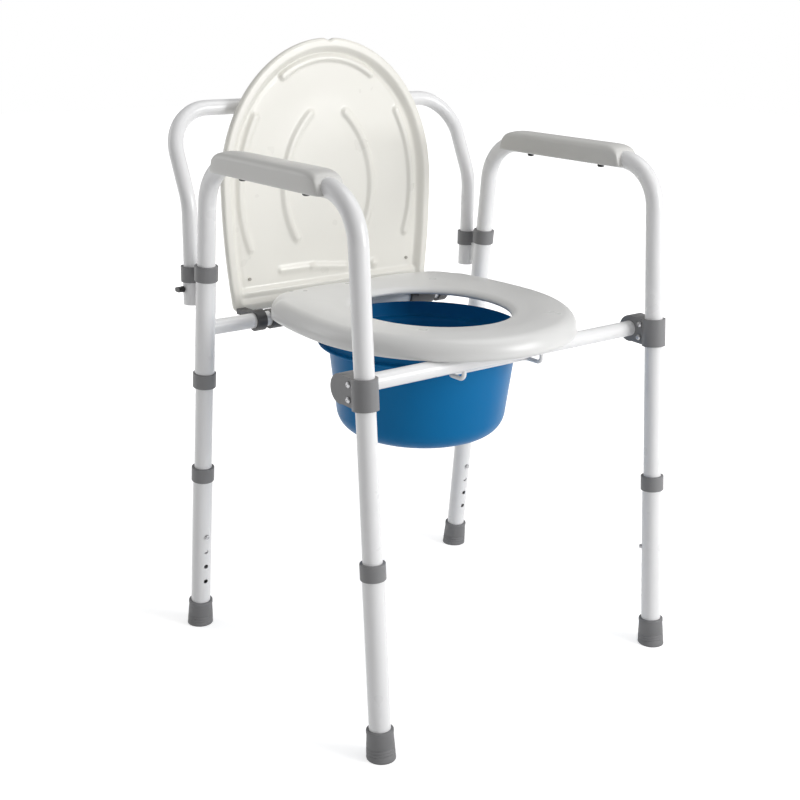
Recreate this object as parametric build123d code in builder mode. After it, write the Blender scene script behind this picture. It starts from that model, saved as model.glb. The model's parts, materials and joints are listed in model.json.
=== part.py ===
"""Folding-frame commode chair: two tube side frames, a hinged seat and lid,
a sliding pail, a lift-out backrest and four height-adjusting legs.

Millimetres. +X is the sitter's left-to-right seen from the front, the front is
at -Y, +Z is up. The floor is z = 0 and the origin is under the middle of the chair.
"""

import os
from math import cos, radians, sin, tan

from build123d import *

os.makedirs("parts", exist_ok=True)

# ---- frame ----
LEG_HALF_WIDTH = 257.5  # from the middle to each side frame
FOOT_SPREAD = 460.0  # front foot to rear foot, centre to centre on the floor
LEG_LEAN = 5.0  # degrees, each leg leans in towards the other going up
TUBE_R = 12.7
TUBE_WALL = 1.6
ARM_Z = 712.0  # centre of the arm tube
ARM_BEND = 65.0
HOOP_END = 126.0  # lower end of the frame tube, along the leg
FIT = 0.1  # radial running clearance
SEAT_GAP = 0.3  # between pieces that only rest on each other

# ---- lower legs ----
SLEEVE_R = 14.3
LEG_TOP = 262.0
LEG_BOTTOM = 10.0
HOLE_R = 3.5
HOLE_PITCH = 25.4
HOLE_COUNT = 4
TOP_HOLE = 153.0
BUTTON_R = 3.2
BUTTON_OUT = 3.8
FOOT_HEIGHT = 40.0
FOOT_TOP_R = 17.2
FOOT_BOTTOM_R = 19.3
COLLAR_R = 16.6
COLLAR_HEIGHT = 22.0
COLLAR_LIP = 2.0

# ---- rear hinge sleeves ----
REAR_SLEEVE_LOW = 392.0
REAR_SLEEVE_HIGH = 568.0

# ---- cross bars ----
BAR_R = 11.0
BAR_WALL = 1.5
BAR_Z = 476.0
FRONT_BAR_BEHIND_LEG = 35.0

# ---- front bar clamps ----
CLAMP_WALL = 4.0
CLAMP_HEIGHT = 39.0
LOBE_R = 19.0
LOBE_OUT = 12.5  # each way from the leg's centre plane
BAR_IN_LOBE = 9.0
BOLT_R = 2.4
BOLT_HEAD_R = 4.2
BOLT_SPREAD = 19.0
BOLT_BEHIND_LEG = 16.6

# ---- backrest ----
SOCKET_BEHIND_LEG = 39.0
SOCKET_LOW = 505.0
SOCKET_HIGH = 557.0
BACK_R = 11.0
BACK_WALL = 1.5
BACK_KNEE_Z = 648.0
BACK_TOP_Z = 771.0
BACK_LEAN = 25.0
BACK_KNEE_BEND = 80.0
BACK_CORNER_BEND = 65.0
SCREW_Z = 528.0
SCREW_R = 3.0
WING_R = 6.5

# ---- arm pads ----
PAD_WIDTH = 46.0
PAD_FRONT = -118.0
PAD_REAR = 131.0
PAD_ABOVE = 21.0  # above the arm tube's centre
PAD_BELOW = 9.0
PAD_TOP_ROUND = 9.0
PAD_END_ROUND = 5.0
PAD_SCREW_Y = (-66.0, 80.0)

# ---- seat ----
SEAT_HALF_WIDTH = 196.0
SEAT_FRONT = 214.0
SEAT_THICK = 30.0
SEAT_REAR_HALF = 165.0
SEAT_CORNER = 50.0
HOLE_HALF_WIDTH = 107.0
HOLE_HALF_LENGTH = 119.0
SEAT_SIDE_WALL = 7.0
SEAT_TOP_WALL = 5.0
SEAT_ROUND = 13.0
HINGE_R = 15.5
SEAT_CLIP_IN = 105.0
SEAT_CLIP_OUT = 152.0
SEAT_CLIP_REACH = 38.0
FRONT_CLIP_X = 90.0
FRONT_CLIP_WIDTH = 10.0
FRONT_CLIP_GAP = 1.6  # lets the tip swing past the bar as the seat lifts
FRONT_CLIP_THICK = 3.0
FRONT_CLIP_TIP = 6.0  # below the bar

# ---- lid ----
LID_LEAN = 2.0
LID_BEHIND = 46.0  # from the hinge axis to the lid's rim
LID_THICK = 14.0
LID_SKIN = 3.5
LID_RIM = 9.0
LID_EDGE_ROUND = 6.0
LID_CORNER = 10.0
LID_HALF_WIDTH = 192.0
LID_FOOT_HALF = 178.5
LID_WIDEST = 180.0
LID_LENGTH = 393.0
LID_START = 2.0
LID_CLIP_IN = 163.0
LID_CLIP_OUT = 178.0
LID_CLIP_HIGH = 10.0
RIB_HIGH = 2.0
BUMPER_R = 2.4
BUMPER_HIGH = 3.0
BUMPER_X = 148.0
BUMPER_UP = 49.0

# ---- pail ----
PAIL_RIM_R = 150.0
PAIL_TOP_R = 135.0
PAIL_BOTTOM_R = 119.0
PAIL_BOTTOM_Z = 326.0
PAIL_WALL = 2.5
PAIL_UNDER_SEAT = 6.5  # the rim clears the seat's hinge clips on its way out
PAIL_FLANGE_Z = 456.0  # underside of the flange, which rests on the rods
PAIL_FLANGE_THICK = 3.0
PAIL_NECK_R = 141.0  # the neck above the flange, outside
PAIL_MOUTH_R = 143.0
PAIL_ROUND = 34.0
RAIL_R = 3.0
RAIL_HALF = 70.0
RAIL_BEND = 8.0

# ---- places worked out from the sizes above ----
slope = tan(radians(LEG_LEAN))
back_depth = (BACK_TOP_Z - BACK_KNEE_Z) * tan(radians(BACK_LEAN))
rear_leg_at_bar = FOOT_SPREAD / 2 - BAR_Z * slope
socket_offset = FOOT_SPREAD / 2 - SCREW_Z * slope + SOCKET_BEHIND_LEG
rear_reach = socket_offset + back_depth + BACK_R
front_reach = FOOT_SPREAD / 2 + FOOT_BOTTOM_R / cos(radians(LEG_LEAN))
MID_Y = (front_reach - rear_reach) / 2  # midway between front and rear feet
REAR_BAR_Y = MID_Y + rear_leg_at_bar
FRONT_BAR_Y = MID_Y - rear_leg_at_bar + FRONT_BAR_BEHIND_LEG
BACK_Y = MID_Y + socket_offset
SEAT_Z = BAR_Z + BAR_R + SEAT_GAP
PAIL_RIM_Z = SEAT_Z - PAIL_UNDER_SEAT
PAIL_Y = (FRONT_BAR_Y + LOBE_R + REAR_BAR_Y - HINGE_R) / 2  # midway between clamps and clips
SIDES = (("left", -1), ("right", 1))
ENDS = (("front", -1), ("rear", 1))


def save(piece, label):
    """Names a finished piece and writes it out."""
    piece.part.label = label
    export_step(piece.part, f"parts/{label}.step")


def leg_plane(side, end, along=0.0):
    """The plane square to a leg, at a length along it from the floor."""
    lean = radians(LEG_LEAN)
    up = Vector(0, -end * sin(lean), cos(lean))
    foot = Vector(side * LEG_HALF_WIDTH, MID_Y + end * FOOT_SPREAD / 2, 0)
    return Plane(origin=foot + up * along, x_dir=(1, 0, 0), z_dir=up)


def hole_direction(side, end):
    """Rear holes face the front of the chair, front holes face back and inwards."""
    plane = leg_plane(side, end)
    return -plane.y_dir if end > 0 else (plane.y_dir - plane.x_dir * side).normalized()


def leg_ring(side, end, low, high, outer, inner=0.0):
    """A tube, or a rod, round a leg's axis between two lengths along it, as a part."""
    with BuildPart() as ring:
        with BuildSketch(leg_plane(side, end, low)):
            Circle(outer)
            if inner:
                Circle(inner, mode=Mode.SUBTRACT)
        extrude(amount=high - low)
    return ring.part


def end_collar(side, end, stop, way):
    """A rounded collar over a sleeve's end, with a lip that closes on the frame tube."""
    low = min(stop - way * (COLLAR_HEIGHT - COLLAR_LIP), stop + way * COLLAR_LIP)
    with BuildPart() as collar:
        add(leg_ring(side, end, low, low + COLLAR_HEIGHT, COLLAR_R))
        fillet(collar.edges().filter_by(GeomType.CIRCLE), 1.2)
        inner = stop - way * COLLAR_HEIGHT
        add(leg_ring(side, end, min(stop, inner), max(stop, inner), SLEEVE_R), mode=Mode.SUBTRACT)
        past = COLLAR_HEIGHT * 2
        add(leg_ring(side, end, stop - past, stop + past, TUBE_R + FIT), mode=Mode.SUBTRACT)
    return collar


def round_rod(start, end_point, radius):
    """A plain round rod from one point to another, as a part."""
    start = Vector(start)
    run = Vector(end_point) - start
    with BuildPart() as rod:
        with BuildSketch(Plane(origin=start, z_dir=run)):
            Circle(radius)
        extrude(amount=run.length)
    return rod.part


def bent_tube(route, outer, inner=0.0):
    """Sweeps a round section along a route, as a part."""
    with BuildPart() as tube:
        with BuildSketch(Plane(origin=route @ 0, z_dir=route % 0)):
            Circle(outer)
            if inner:
                Circle(inner, mode=Mode.SUBTRACT)
        sweep(path=route)
    return tube.part


def hoop_route(side):
    """Front leg, arm and rear leg in one bent line."""
    top = FOOT_SPREAD / 2 - ARM_Z * slope
    low = HOOP_END * cos(radians(LEG_LEAN))
    foot = FOOT_SPREAD / 2 - low * slope
    x = side * LEG_HALF_WIDTH
    with BuildLine() as line:
        FilletPolyline(
            (x, MID_Y - foot, low),
            (x, MID_Y - top, ARM_Z),
            (x, MID_Y + top, ARM_Z),
            (x, MID_Y + foot, low),
            radius=ARM_BEND,
        )
    return line.wire()


# ---- side frames, with their arm pads ----
for name, side in SIDES:
    route = hoop_route(side)
    with BuildPart() as hoop:
        add(bent_tube(route, TUBE_R, TUBE_R - TUBE_WALL))
        for end_name, end in ENDS:
            spot = leg_plane(side, end, TOP_HOLE).origin
            reach = spot + hole_direction(side, end) * (TUBE_R + 5)
            add(round_rod(spot, reach, BUTTON_R + FIT), mode=Mode.SUBTRACT)
        for screw_y in PAD_SCREW_Y:
            low = (side * LEG_HALF_WIDTH, MID_Y + screw_y, ARM_Z - TUBE_R - 5)
            high = (side * LEG_HALF_WIDTH, MID_Y + screw_y, ARM_Z + TUBE_R + 5)
            add(round_rod(low, high, 2.2), mode=Mode.SUBTRACT)
    save(hoop, f"{name}_side_hoop")

    solid_hoop = bent_tube(route, TUBE_R + FIT)
    with BuildPart() as pad:
        with BuildSketch(Plane.XZ.offset(-(MID_Y + PAD_REAR))):
            with Locations((side * LEG_HALF_WIDTH, ARM_Z + (PAD_ABOVE - PAD_BELOW) / 2)):
                Rectangle(PAD_WIDTH, PAD_ABOVE + PAD_BELOW)
        extrude(amount=PAD_REAR - PAD_FRONT)
        long_edges = pad.edges().filter_by(Axis.Y).group_by(Axis.Z)[-1]
        fillet(long_edges, PAD_TOP_ROUND)
        for end_face in pad.faces().filter_by(Axis.Y):
            crown = end_face.edges().filter_by(lambda e: e.center().Z > ARM_Z)
            fillet(crown, PAD_END_ROUND)
        add(solid_hoop, mode=Mode.SUBTRACT)
        for screw_y in PAD_SCREW_Y:
            low = (side * LEG_HALF_WIDTH, MID_Y + screw_y, ARM_Z)
            high = (side * LEG_HALF_WIDTH, MID_Y + screw_y, ARM_Z + TUBE_R + 9)
            add(round_rod(low, high, 2.0), mode=Mode.SUBTRACT)
    save(pad, f"{name}_arm_pad")

    with BuildPart() as screws:
        for screw_y in PAD_SCREW_Y:
            head = Vector(side * LEG_HALF_WIDTH, MID_Y + screw_y, ARM_Z - TUBE_R)
            add(round_rod(head - Vector(0, 0, 4), head, 5.0))
            add(round_rod(head, head + Vector(0, 0, 2 * TUBE_R + 8), 2.0))
    save(screws, f"{name}_pad_screws")

# ---- lower legs: sleeve with holes, collar, foot, and the snap button ----
for end_name, end in ENDS:
    for name, side in SIDES:
        way = hole_direction(side, end)
        with BuildPart() as leg:
            add(leg_ring(side, end, LEG_BOTTOM, LEG_TOP, SLEEVE_R, TUBE_R + FIT))
            for k in range(HOLE_COUNT):
                spot = leg_plane(side, end, TOP_HOLE - k * HOLE_PITCH).origin
                reach = spot + way * (SLEEVE_R + 5)
                add(round_rod(spot, reach, HOLE_R), mode=Mode.SUBTRACT)
        save(leg, f"{end_name}_{name}_leg")

        save(end_collar(side, end, LEG_TOP, 1), f"{end_name}_{name}_leg_collar")

        with BuildPart() as foot:
            with BuildSketch(leg_plane(side, end, -5)):
                Circle(FOOT_BOTTOM_R)
            with BuildSketch(leg_plane(side, end, FOOT_HEIGHT)):
                Circle(FOOT_TOP_R)
            loft()
            fillet(foot.edges().group_by(Axis.Z)[-1], 1.5)
            add(leg_ring(side, end, LEG_BOTTOM, FOOT_HEIGHT + 5, SLEEVE_R), mode=Mode.SUBTRACT)
            split(bisect_by=Plane.XY, keep=Keep.TOP)
        save(foot, f"{end_name}_{name}_foot")

        bore = TUBE_R - TUBE_WALL
        with BuildPart() as clip:
            spot = leg_plane(side, end, TOP_HOLE).origin
            add(round_rod(spot + way * (bore - 1.4), spot + way * (SLEEVE_R + BUTTON_OUT), BUTTON_R))
            fillet(clip.faces().sort_by(Axis(spot, way))[-1].edges(), 1.5)
            leaf_plane = Plane(origin=spot, x_dir=way, z_dir=leg_plane(side, end).z_dir.cross(way))
            with BuildSketch(leaf_plane):
                with BuildLine():
                    Polyline((bore - 1.8, -5), (bore - 1.8, 8), (0, 30), (-bore + 1.0, 8))
                trace(line_width=0.8)
            extrude(amount=3, both=True)
        save(clip, f"{end_name}_{name}_snap_clip")

# ---- rear hinge sleeves and their collars ----
for name, side in SIDES:
    with BuildPart() as sleeve:
        add(leg_ring(side, 1, REAR_SLEEVE_LOW, REAR_SLEEVE_HIGH, SLEEVE_R, TUBE_R + FIT))
    save(sleeve, f"{name}_hinge_sleeve")
    for where, stop, way in (("upper", REAR_SLEEVE_HIGH, 1), ("lower", REAR_SLEEVE_LOW, -1)):
        save(end_collar(side, 1, stop, way), f"{name}_{where}_sleeve_collar")

# ---- cross bars ----
with BuildPart() as rear_bar:
    with BuildSketch(Plane.YZ.offset(-LEG_HALF_WIDTH)):
        with Locations((REAR_BAR_Y, BAR_Z)):
            Circle(BAR_R)
            Circle(BAR_R - BAR_WALL, mode=Mode.SUBTRACT)
    extrude(amount=2 * LEG_HALF_WIDTH)
    for name, side in SIDES:
        around = leg_ring(side, 1, REAR_SLEEVE_LOW, REAR_SLEEVE_HIGH, SLEEVE_R)
        add(around, mode=Mode.SUBTRACT)
    keep_middle = rear_bar.solids().sort_by(SortBy.VOLUME)[-1]
    add(keep_middle, mode=Mode.REPLACE)
save(rear_bar, "rear_bar")

bar_end = LEG_HALF_WIDTH - LOBE_OUT + BAR_IN_LOBE
with BuildPart() as front_bar:
    with BuildSketch(Plane.YZ.offset(-bar_end)):
        with Locations((FRONT_BAR_Y, BAR_Z)):
            Circle(BAR_R)
            Circle(BAR_R - BAR_WALL, mode=Mode.SUBTRACT)
    extrude(amount=2 * bar_end)
save(front_bar, "front_bar")

# ---- front bar clamps, in two halves, with bolts ----
front_leg_y = FRONT_BAR_Y - FRONT_BAR_BEHIND_LEG
wrap_r = TUBE_R + CLAMP_WALL
clamp_along = BAR_Z / cos(radians(LEG_LEAN))
bolt_places = [BAR_Z - BOLT_SPREAD / 2, BAR_Z + BOLT_SPREAD / 2]
for name, side in SIDES:
    x = side * LEG_HALF_WIDTH
    with BuildPart() as clamp:
        with BuildSketch(leg_plane(side, -1, clamp_along - CLAMP_HEIGHT / 2)):
            Circle(wrap_r)
        extrude(amount=CLAMP_HEIGHT)
        with BuildSketch(Plane.YZ.offset(x - LOBE_OUT)):
            with Locations((FRONT_BAR_Y, BAR_Z)):
                Circle(LOBE_R)
            with BuildLine():
                Polyline(
                    (front_leg_y, BAR_Z - CLAMP_HEIGHT / 2 + 0.5),
                    (FRONT_BAR_Y, BAR_Z - LOBE_R + 1),
                    (FRONT_BAR_Y, BAR_Z + LOBE_R - 1),
                    (front_leg_y, BAR_Z + CLAMP_HEIGHT / 2 - 0.5),
                    close=True,
                )
            make_face()
        extrude(amount=2 * LOBE_OUT)
        past = CLAMP_HEIGHT
        add(leg_ring(side, -1, clamp_along - past, clamp_along + past, TUBE_R), mode=Mode.SUBTRACT)
        inner_face = (x - side * LOBE_OUT, FRONT_BAR_Y, BAR_Z)
        pocket = (x - side * (LOBE_OUT - BAR_IN_LOBE), FRONT_BAR_Y, BAR_Z)
        add(round_rod(inner_face, pocket, BAR_R), mode=Mode.SUBTRACT)
        for z in bolt_places:
            ends = [(x + way * (LOBE_OUT + 9), front_leg_y + BOLT_BEHIND_LEG, z) for way in (-1, 1)]
            add(round_rod(ends[0], ends[1], BOLT_R), mode=Mode.SUBTRACT)
    outer_keep, inner_keep = (Keep.TOP, Keep.BOTTOM) if side > 0 else (Keep.BOTTOM, Keep.TOP)
    for half_name, keep in (("outer", outer_keep), ("inner", inner_keep)):
        with BuildPart() as half:
            add(clamp.part)
            split(bisect_by=Plane.YZ.offset(x), keep=keep)
        save(half, f"{name}_clamp_{half_name}")
    with BuildPart() as bolts:
        for z in bolt_places:
            y = front_leg_y + BOLT_BEHIND_LEG
            add(round_rod((x - LOBE_OUT, y, z), (x + LOBE_OUT, y, z), BOLT_R))
            for way in (-1, 1):
                start = x + way * LOBE_OUT
                add(round_rod((start, y, z), (start + way * 2.6, y, z), BOLT_HEAD_R))
    save(bolts, f"{name}_clamp_bolts")

# ---- backrest, its sockets and thumb screws ----
back_top_y = BACK_Y + back_depth
with BuildLine() as back_line:
    FilletPolyline(
        (-LEG_HALF_WIDTH, BACK_Y, SOCKET_LOW + 3),
        (-LEG_HALF_WIDTH, BACK_Y, BACK_KNEE_Z),
        (-LEG_HALF_WIDTH, back_top_y, BACK_TOP_Z),
        (LEG_HALF_WIDTH, back_top_y, BACK_TOP_Z),
        (LEG_HALF_WIDTH, BACK_Y, BACK_KNEE_Z),
        (LEG_HALF_WIDTH, BACK_Y, SOCKET_LOW + 3),
        radius=[BACK_KNEE_BEND, BACK_CORNER_BEND, BACK_CORNER_BEND, BACK_KNEE_BEND],
    )
with BuildPart() as backrest:
    add(bent_tube(back_line.wire(), BACK_R, BACK_R - BACK_WALL))
save(backrest, "backrest_tube")

socket_r = BACK_R + FIT + BAR_WALL
for name, side in SIDES:
    x = side * LEG_HALF_WIDTH
    with BuildPart() as socket:
        with BuildSketch(Plane.XY.offset(SOCKET_LOW)):
            with Locations((x, BACK_Y)):
                Circle(socket_r)
        extrude(amount=SOCKET_HIGH - SOCKET_LOW)
        with BuildSketch(Plane.YZ.offset(x)):
            with Locations(((BACK_Y + BACK_Y - SOCKET_BEHIND_LEG) / 2, (SOCKET_LOW + SOCKET_HIGH) / 2 - 4)):
                Rectangle(SOCKET_BEHIND_LEG, 30)
        extrude(amount=2, both=True)
        with BuildSketch(Plane.XY.offset(SOCKET_LOW - 5)):
            with Locations((x, BACK_Y)):
                Circle(BACK_R + FIT)
        extrude(amount=SOCKET_HIGH - SOCKET_LOW + 10, mode=Mode.SUBTRACT)
        add(leg_ring(side, 1, REAR_SLEEVE_LOW, REAR_SLEEVE_HIGH + 9, SLEEVE_R), mode=Mode.SUBTRACT)
        screw_start = (x, BACK_Y, SCREW_Z)
        screw_end = (x + side * (socket_r + 5), BACK_Y, SCREW_Z)
        add(round_rod(screw_start, screw_end, SCREW_R + 0.08), mode=Mode.SUBTRACT)
        largest = socket.solids().sort_by(SortBy.VOLUME)[-1]
        add(largest, mode=Mode.REPLACE)
    save(socket, f"{name}_back_socket")

    with BuildPart() as cap:
        with BuildSketch(Plane.XY.offset(SOCKET_HIGH - COLLAR_HEIGHT + 3)):
            with Locations((x, BACK_Y)):
                Circle(socket_r + 2.4)
                Circle(socket_r, mode=Mode.SUBTRACT)
        extrude(amount=COLLAR_HEIGHT - 3)
        with BuildSketch(Plane.XY.offset(SOCKET_HIGH)):
            with Locations((x, BACK_Y)):
                Circle(socket_r + 2.4)
                Circle(BACK_R + FIT, mode=Mode.SUBTRACT)
        extrude(amount=3)
        add(socket.part, mode=Mode.SUBTRACT)
        largest = cap.solids().sort_by(SortBy.VOLUME)[-1]
        add(largest, mode=Mode.REPLACE)
    save(cap, f"{name}_socket_collar")

    with BuildPart() as thumb:
        tip = Vector(x + side * (BACK_R + SEAT_GAP), BACK_Y, SCREW_Z)
        neck = Vector(x + side * (socket_r + 1.0), BACK_Y, SCREW_Z)
        add(round_rod(tip, neck + Vector(side * 3, 0, 0), SCREW_R))
        add(round_rod(neck, neck + Vector(side * 3, 0, 0), SCREW_R + 1.5))
        with BuildSketch(Plane.YZ.offset(neck.X + side * 3)):
            with Locations((BACK_Y, SCREW_Z)):
                SlotOverall(2 * WING_R, WING_R)
        extrude(amount=side * 7)
    save(thumb, f"{name}_thumb_screw")


# ---- seat ----
def seat_outline(grow=0.0):
    """The egg shaped outer edge, drawn about the middle of the legs."""
    half = SEAT_HALF_WIDTH + grow
    back = REAR_BAR_Y - MID_Y - 0.4 + grow
    rear_half = SEAT_REAR_HALF + grow
    with BuildSketch(Plane.XY.offset(SEAT_Z), mode=Mode.PRIVATE) as outline:
        with BuildLine():
            EllipticalCenterArc((0, MID_Y), half, SEAT_FRONT + grow, start_angle=180, arc_size=180)
            TangentArc((half, MID_Y), (rear_half, MID_Y + back), tangent=(0, 1))
            Line((rear_half, MID_Y + back), (-rear_half, MID_Y + back))
            TangentArc((-half, MID_Y), (-rear_half, MID_Y + back), tangent=(0, 1))
        make_face()
        fillet(outline.vertices().group_by(Axis.Y)[-1], SEAT_CORNER + grow)
    return outline.sketch


clip_mid = (SEAT_CLIP_IN + SEAT_CLIP_OUT) / 2
clip_wide = SEAT_CLIP_OUT - SEAT_CLIP_IN
with BuildPart() as hollow:
    add(seat_outline(-SEAT_SIDE_WALL))
    extrude(amount=SEAT_THICK - SEAT_TOP_WALL)
    with BuildSketch(Plane.XY.offset(SEAT_Z)):
        with Locations((0, MID_Y)):
            Ellipse(HOLE_HALF_WIDTH + SEAT_SIDE_WALL, HOLE_HALF_LENGTH + SEAT_SIDE_WALL)
        with Locations(*[(side * clip_mid, REAR_BAR_Y - SEAT_CLIP_REACH / 2) for name, side in SIDES]):
            Rectangle(clip_wide, SEAT_CLIP_REACH)
        with Locations(*[(side * FRONT_CLIP_X, FRONT_BAR_Y) for name, side in SIDES]):
            Rectangle(30, 40)
    extrude(amount=SEAT_THICK, mode=Mode.SUBTRACT)
with BuildPart() as seat:
    add(seat_outline())
    extrude(amount=SEAT_THICK)
    with BuildSketch(Plane.XY.offset(SEAT_Z)):
        with Locations((0, MID_Y)):
            Ellipse(HOLE_HALF_WIDTH, HOLE_HALF_LENGTH)
    extrude(amount=SEAT_THICK, mode=Mode.SUBTRACT)
    top = seat.faces().sort_by(Axis.Z)[-1]
    fillet(top.edges(), SEAT_ROUND)
    bottom = seat.faces().sort_by(Axis.Z)[0]
    fillet(bottom.edges(), 3)
    add(hollow.part, mode=Mode.SUBTRACT)
save(seat, "seat_ring")

for name, side in SIDES:
    start = min(side * SEAT_CLIP_IN, side * SEAT_CLIP_OUT)
    with BuildPart() as hinge_clip:
        with BuildSketch(Plane.YZ.offset(start)):
            with Locations((REAR_BAR_Y, BAR_Z)):
                Circle(HINGE_R)
            with Locations((REAR_BAR_Y - SEAT_CLIP_REACH / 2 + 2, SEAT_Z - 2.5)):
                Rectangle(SEAT_CLIP_REACH - 8, 5)
            with Locations((REAR_BAR_Y, BAR_Z)):
                Circle(BAR_R + 0.06, mode=Mode.SUBTRACT)
        extrude(amount=clip_wide)
        split(bisect_by=Plane.XY.offset(SEAT_Z), keep=Keep.BOTTOM)
    save(hinge_clip, f"{name}_seat_hinge_clip")

    with BuildPart() as front_clip:
        width = FRONT_CLIP_WIDTH
        near = FRONT_BAR_Y + BAR_R + FRONT_CLIP_GAP
        far = near + FRONT_CLIP_THICK
        with BuildSketch(Plane.YZ.offset(side * FRONT_CLIP_X - width / 2)):
            with BuildLine():
                Polyline(
                    (near, SEAT_Z),
                    (near, BAR_Z - BAR_R),
                    ((near + far) / 2, BAR_Z - BAR_R - FRONT_CLIP_TIP),
                    (far, BAR_Z - BAR_R),
                    (far, SEAT_Z),
                    close=True,
                )
            make_face()
            with Locations((FRONT_BAR_Y - BAR_R - FRONT_CLIP_THICK, SEAT_Z - FRONT_CLIP_THICK / 2)):
                Rectangle(FRONT_CLIP_THICK, FRONT_CLIP_THICK)
        extrude(amount=width)
    save(front_clip, f"{name}_seat_front_clip")


# ---- lid, standing open ----
def lid_plane(out=0.0):
    """Local x is the chair's x, local y runs up the open lid, z faces forward."""
    lean = radians(LID_LEAN)
    face = Vector(0, -cos(lean), sin(lean))
    return Plane(origin=Vector(0, REAR_BAR_Y, BAR_Z) + face * out, x_dir=(1, 0, 0), z_dir=face)


def lid_outline(out, grow=0.0):
    """The lid's outer edge, flat, that far above the hinge axis in the lid's own frame."""
    half = LID_HALF_WIDTH + grow
    low_half = LID_FOOT_HALF + grow
    low = LID_START - grow
    with BuildSketch(Plane.XY.offset(out), mode=Mode.PRIVATE) as outline:
        with BuildLine():
            rise = LID_LENGTH - LID_WIDEST + grow
            EllipticalCenterArc((0, LID_WIDEST), half, rise, start_angle=0, arc_size=180)
            TangentArc((-half, LID_WIDEST), (-low_half, low), tangent=(0, -1))
            Line((-low_half, low), (low_half, low))
            TangentArc((half, LID_WIDEST), (low_half, low), tangent=(0, -1))
        make_face()
        fillet(outline.vertices().group_by(Axis.Y)[0], LID_CORNER + grow)
    return outline.sketch


with BuildPart() as lid:
    add(lid_outline(-LID_BEHIND - LID_THICK))
    extrude(amount=LID_THICK)
    fillet(lid.faces().sort_by(Axis.Z)[0].edges(), LID_EDGE_ROUND)
    add(lid_outline(-LID_BEHIND, -LID_RIM))
    extrude(amount=-(LID_THICK - LID_SKIN), mode=Mode.SUBTRACT)
    inner_face = -LID_BEHIND - LID_THICK + LID_SKIN
    for reach, low, high in ((0.36, 0.25, 0.62), (0.72, 0.22, 0.66)):
        for name, side in SIDES:
            bow = side * reach * LID_HALF_WIDTH
            with BuildSketch(Plane.XY.offset(inner_face)):
                with BuildLine() as rib_line:
                    ThreePointArc(
                        (bow * 0.72, low * LID_LENGTH),
                        (bow, (low + high) / 2 * LID_LENGTH),
                        (bow * 0.6, high * LID_LENGTH),
                    )
                SlotArc(rib_line.edge(), 13)
            extrude(amount=RIB_HIGH)
lid.part.locate(lid_plane().location)
save(lid, "lid_panel")

for name, side in SIDES:
    start = min(side * LID_CLIP_IN, side * LID_CLIP_OUT)
    wide = LID_CLIP_OUT - LID_CLIP_IN
    with BuildPart() as lid_clip:
        with BuildSketch(Plane.YZ.offset(start)):
            with Locations((REAR_BAR_Y, BAR_Z)):
                Circle(HINGE_R)
        extrude(amount=wide)
        with BuildSketch(lid_plane(-LID_BEHIND)):
            with Locations((start + wide / 2, LID_CLIP_HIGH / 2 + LID_START / 2)):
                Rectangle(wide, LID_CLIP_HIGH - LID_START)
        extrude(amount=LID_BEHIND)
        with BuildSketch(Plane.YZ.offset(start - 1)):
            with Locations((REAR_BAR_Y, BAR_Z)):
                Circle(BAR_R + 0.06)
        extrude(amount=wide + 2, mode=Mode.SUBTRACT)
        largest = lid_clip.solids().sort_by(SortBy.VOLUME)[-1]
        add(largest, mode=Mode.REPLACE)
    save(lid_clip, f"{name}_lid_hinge_clip")

with BuildPart() as bumpers:
    with BuildSketch(Plane.XY.offset(-LID_BEHIND - LID_THICK + LID_SKIN)):
        with Locations(*[(side * BUMPER_X, BUMPER_UP) for name, side in SIDES]):
            Circle(BUMPER_R)
    extrude(amount=BUMPER_HIGH)
bumpers.part.locate(lid_plane().location)
save(bumpers, "lid_bumpers")

# ---- pail, and the bent rods along the cross bars that carry its flange ----
with BuildPart() as pail:
    with BuildSketch(Plane.XZ) as section:
        with BuildLine():
            Polyline(
                (0, PAIL_BOTTOM_Z),
                (PAIL_BOTTOM_R, PAIL_BOTTOM_Z),
                (PAIL_TOP_R, PAIL_FLANGE_Z),
                (PAIL_RIM_R, PAIL_FLANGE_Z),
                (PAIL_RIM_R, PAIL_FLANGE_Z + PAIL_FLANGE_THICK),
                (PAIL_NECK_R, PAIL_FLANGE_Z + PAIL_FLANGE_THICK),
                (PAIL_MOUTH_R, PAIL_RIM_Z),
                (PAIL_MOUTH_R - PAIL_WALL, PAIL_RIM_Z),
                (PAIL_NECK_R - PAIL_WALL, PAIL_FLANGE_Z + PAIL_FLANGE_THICK),
                (PAIL_TOP_R - PAIL_WALL, PAIL_FLANGE_Z + PAIL_FLANGE_THICK),
                (PAIL_BOTTOM_R - PAIL_WALL, PAIL_BOTTOM_Z + PAIL_WALL),
                (0, PAIL_BOTTOM_Z + PAIL_WALL),
                close=True,
            )
        make_face()
    revolve(axis=Axis.Z)
    ring_edges = pail.edges().filter_by(GeomType.CIRCLE)
    fillet(ring_edges.group_by(Axis.Z)[0], PAIL_ROUND)
    second = pail.edges().filter_by(GeomType.CIRCLE)
    floor_ring = second.filter_by(lambda e: abs(e.center().Z - PAIL_BOTTOM_Z - PAIL_WALL) < 0.01)
    fillet(floor_ring, PAIL_ROUND - PAIL_WALL)
pail.part.locate(Location((0, PAIL_Y, 0)))
save(pail, "pail")

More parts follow.
